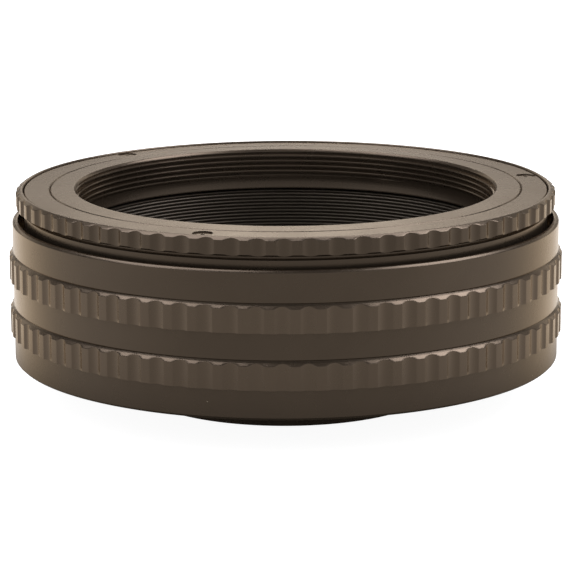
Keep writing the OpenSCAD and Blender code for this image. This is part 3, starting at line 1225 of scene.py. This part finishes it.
@dataclass
class InnerParts:
    """The brass, steel and plastic parts inside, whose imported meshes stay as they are."""

    finisher: Finisher

    def build(self) -> None:
        """Gives each part the finish of the slot that the record names."""
        groups = {
            Slot.BRASS: ["guide_key_a", "guide_key_b", "helicoid_nut", "helicoid_bush"],
            Slot.SCREW: [
                "stop_pin",
                *(f"key_screw_{side}_{end}" for side in "ab" for end in ("low", "high")),
                *(f"retaining_screw_{letter}" for letter in "abcd"),
            ],
            Slot.WASHER: ["rear_washer", "front_washer"],
            Slot.BLACK: ["retaining_ring"],
        }
        for slot, nodes in groups.items():
            for node in nodes:
                self.finisher.dress(node, slot)


@dataclass(frozen=True)
class Softbox:
    """A level softbox over the object, whose ends are shares of the height that it hangs at."""

    name: str
    across: tuple[float, float]
    along: tuple[float, float]
    gain: float = 1.0
    height: float = 600.0
    radiance: float = 7.5
    colour: tuple[float, float, float] = (0.95, 0.98, 1.08)

    def hang(self) -> None:
        """Adds the lamp to the scene."""
        width, depth = ((high - low) * self.height * MM for low, high in (self.across, self.along))
        data = bpy.data.lights.new(self.name, "AREA")
        data.shape = "RECTANGLE"
        data.size = width
        data.size_y = depth
        data.color = self.colour
        data.energy = self.gain * self.radiance * math.pi * width * depth
        lamp = bpy.data.objects.new(self.name, data)
        centre = Vector((sum(self.across) / 2, sum(self.along) / 2, 1))
        lamp.location = centre * self.height * MM
        bpy.context.scene.collection.objects.link(lamp)


@dataclass
class Studio:
    """Floor, backdrop, lamps and camera. Sizes in millimetres and angles in degrees."""

    camera_y: float = -390.45
    camera_z: float = 101.08
    pitch: float = 12.523
    yaw: float = 0.043
    roll: float = -0.187
    lens: float = 179.27
    sensor: float = 36.0
    floor_r: float = 3000.0
    floor_seen: float = 0.93
    floor_grey: float = 0.06
    floor_grey_seen: float = 0.25
    bore_edge: tuple[float, float] = (18.05, 19.95)
    bore_glow: float = 0.5
    shade_edge: tuple[float, float] = (34.0, 76.0)
    shade_glow: float = 0.1
    side_gain: float = 0.52
    front_start: float = 0.35
    front_half: tuple[float, float] = (-0.5, -0.2)
    front_sky: tuple[float, float] = (0.72, 0.88)
    other_sky: tuple[float, float] = (0.22, 0.36)
    overhead: float = 0.1
    glossy_tint: tuple[float, float, float] = (0.93, 0.965, 1.03)
    diffuse_sky: float = 1.5
    behind: tuple[float, float] = (0.3, 0.7)
    backdrop_rise: tuple[float, float] = (0.17, 0.26)
    backdrop_shades: tuple[float, float] = (0.3, 3.4)
    backdrop_half_width: float = 0.1
    backdrop_side: float = 0.48
    least_ahead: float = 0.01
    softboxes: tuple[Softbox, ...] = (
        Softbox("softbox_back", (-0.9, 0.42), (0.2, 0.525)),
        Softbox("softbox_left", (-0.9, -0.12), (-0.245, 0.2)),
        Softbox("softbox_right", (0.42, 1.15), (-0.245, 0.55), gain=1.5),
    )

    def build(self) -> None:
        """Builds the whole studio."""
        self._camera()
        self._floor()
        self._world()
        for softbox in self.softboxes:
            softbox.hang()
        bpy.context.scene.view_settings.view_transform = "Standard"

    def _camera(self) -> None:
        """Places the camera where the photograph was taken from."""
        pitch, yaw, roll = (math.radians(a) for a in (self.pitch, self.yaw, self.roll))
        ahead = Vector(
            (math.sin(yaw) * math.cos(pitch), math.cos(yaw) * math.cos(pitch), -math.sin(pitch))
        )
        right = ahead.cross(AXIS).normalized()
        up = right.cross(ahead)
        across = right * math.cos(roll) + up * math.sin(roll)
        upward = up * math.cos(roll) - right * math.sin(roll)
        data = bpy.data.cameras.new("camera")
        data.sensor_width = self.sensor
        data.lens = self.lens
        camera = bpy.data.objects.new("camera", data)
        turned = Matrix((across, upward, -ahead)).transposed().to_4x4()
        place = Matrix.Translation((0, self.camera_y * MM, self.camera_z * MM))
        camera.matrix_world = place @ turned
        bpy.context.scene.collection.objects.link(camera)
        bpy.context.scene.camera = camera

    def _floor(self) -> None:
        """Lays the floor."""
        bm = bmesh.new()
        bmesh.ops.create_circle(bm, cap_ends=True, segments=96, radius=self.floor_r * MM)
        mesh = bpy.data.meshes.new("floor")
        bm.to_mesh(mesh)
        bm.free()
        mesh.materials.append(self._floor_finish())
        floor = bpy.data.objects.new("floor", mesh)
        bpy.context.scene.collection.objects.link(floor)

    def _floor_finish(self) -> bpy.types.Material:
        """Makes the floor's material.

        Returns:
            A material that the camera sees as white with a faint shadow. For the object it is
            a glow, which is dim near the object and stronger under its bore.
        """
        material = bpy.data.materials.new("white_floor")
        graph = Graph(material)
        point = graph.node("ShaderNodeTexCoord").outputs["Object"]
        length = graph.node("ShaderNodeVectorMath", {"operation": "LENGTH"}, {0: point})
        distance = graph.value(length, "Value") / MM
        camera = graph.value(graph.node("ShaderNodeLightPath"), "Is Camera Ray")
        shade = distance.ramp(*self.shade_edge, self.shade_glow)
        bore = distance.ramp(*self.bore_edge, self.bore_glow, 0.0)
        glow = shade.larger(bore) * self._gain(graph, point)
        seen = camera * self.floor_seen + (1 - camera) * glow
        grey, grey_seen = (rgba(WHITE, share) for share in (self.floor_grey, self.floor_grey_seen))
        shader = graph.node(
            "ShaderNodeBsdfPrincipled",
            None,
            {
                "Base Color": graph.blend(camera, grey, grey_seen),
                "Roughness": 1.0,
                "Specular IOR Level": 0.0,
                "Emission Color": graph.scaled(WHITE, seen),
                "Emission Strength": 1.0,
            },
        )
        graph.surface(shader)
        return material

    def _gain(self, graph: Graph, vector: bpy.types.NodeSocket) -> Value:
        """Gives the brightness of the surroundings, which are dimmer on the side of the camera.

        Args:
            graph: Graph of the floor's material or of the world.
            vector: Direction from the object, of any length.

        Returns:
            One towards the camera, and more to the sides and behind.
        """
        x, y, _ = graph.parts(vector)
        frontness = 0 - y / (x * x + y * y).root()
        return frontness.ramp(self.front_start, 1.0, 1 + self.side_gain, 1.0)

    def _world(self) -> None:
        """Makes a world that is white for the camera and, in reflections, dark overhead."""
        world = bpy.data.worlds.new("backdrop")
        bpy.context.scene.world = world
        graph = Graph(world)
        path = graph.node("ShaderNodeLightPath")
        camera = graph.value(path, "Is Camera Ray")
        mirror = graph.value(path, "Is Glossy Ray").larger(graph.value(path, "Is Transmission Ray"))
        direction = graph.node("ShaderNodeTexCoord").outputs["Generated"]
        _, y, z = graph.parts(direction)
        front = y.ramp(*self.front_half, 1.0, 0.0)
        over_front = z.ramp(*self.front_sky, 1.0, self.overhead)
        elsewhere = z.ramp(*self.other_sky, 1.0, self.overhead)
        sky = front * over_front + (1 - front) * elsewhere
        sky = sky * self._gain(graph, direction) * self._backdrop(graph, direction)
        seen = camera + (1 - camera) * (mirror * sky + (1 - mirror) * self.diffuse_sky)
        colour = graph.scaled(graph.blend(mirror, rgba(WHITE), rgba(self.glossy_tint)), seen)
        graph.surface(graph.node("ShaderNodeBackground", None, {"Color": colour, "Strength": 1.0}))

    def _backdrop(self, graph: Graph, direction: bpy.types.NodeSocket) -> Value:
        """Shades the surroundings behind the object, which are dimmer low down and to the sides.

        Args:
            graph: Graph of the world.
            direction: Direction from the object, of length one.

        Returns:
            One in front of the object, and the shade behind it.
        """
        x, y, z = graph.parts(direction)
        sideways = x.unsigned() / y.larger(self.least_ahead)
        level = z.ramp(*self.backdrop_rise, *self.backdrop_shades)
        side = sideways.ramp(0.0, self.backdrop_half_width, 1.0, self.backdrop_side)
        return 1 + y.ramp(*self.behind) * (level * side - 1)


def main() -> None:
    """Builds the studio and every piece."""
    logging.basicConfig(level=logging.INFO, format="%(name)s: %(message)s")
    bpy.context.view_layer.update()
    Studio().build()
    finisher = Finisher()
    GripSleeve(finisher).build()
    FrontRing(finisher).build()
    ThreadInsert(finisher).build()
    RearMount(finisher).build()
    FaceRing(finisher).build()
    FaceScrews(finisher).build()
    Barrel(finisher).build()
    InnerParts(finisher).build()


if __name__ == "__main__":
    main()
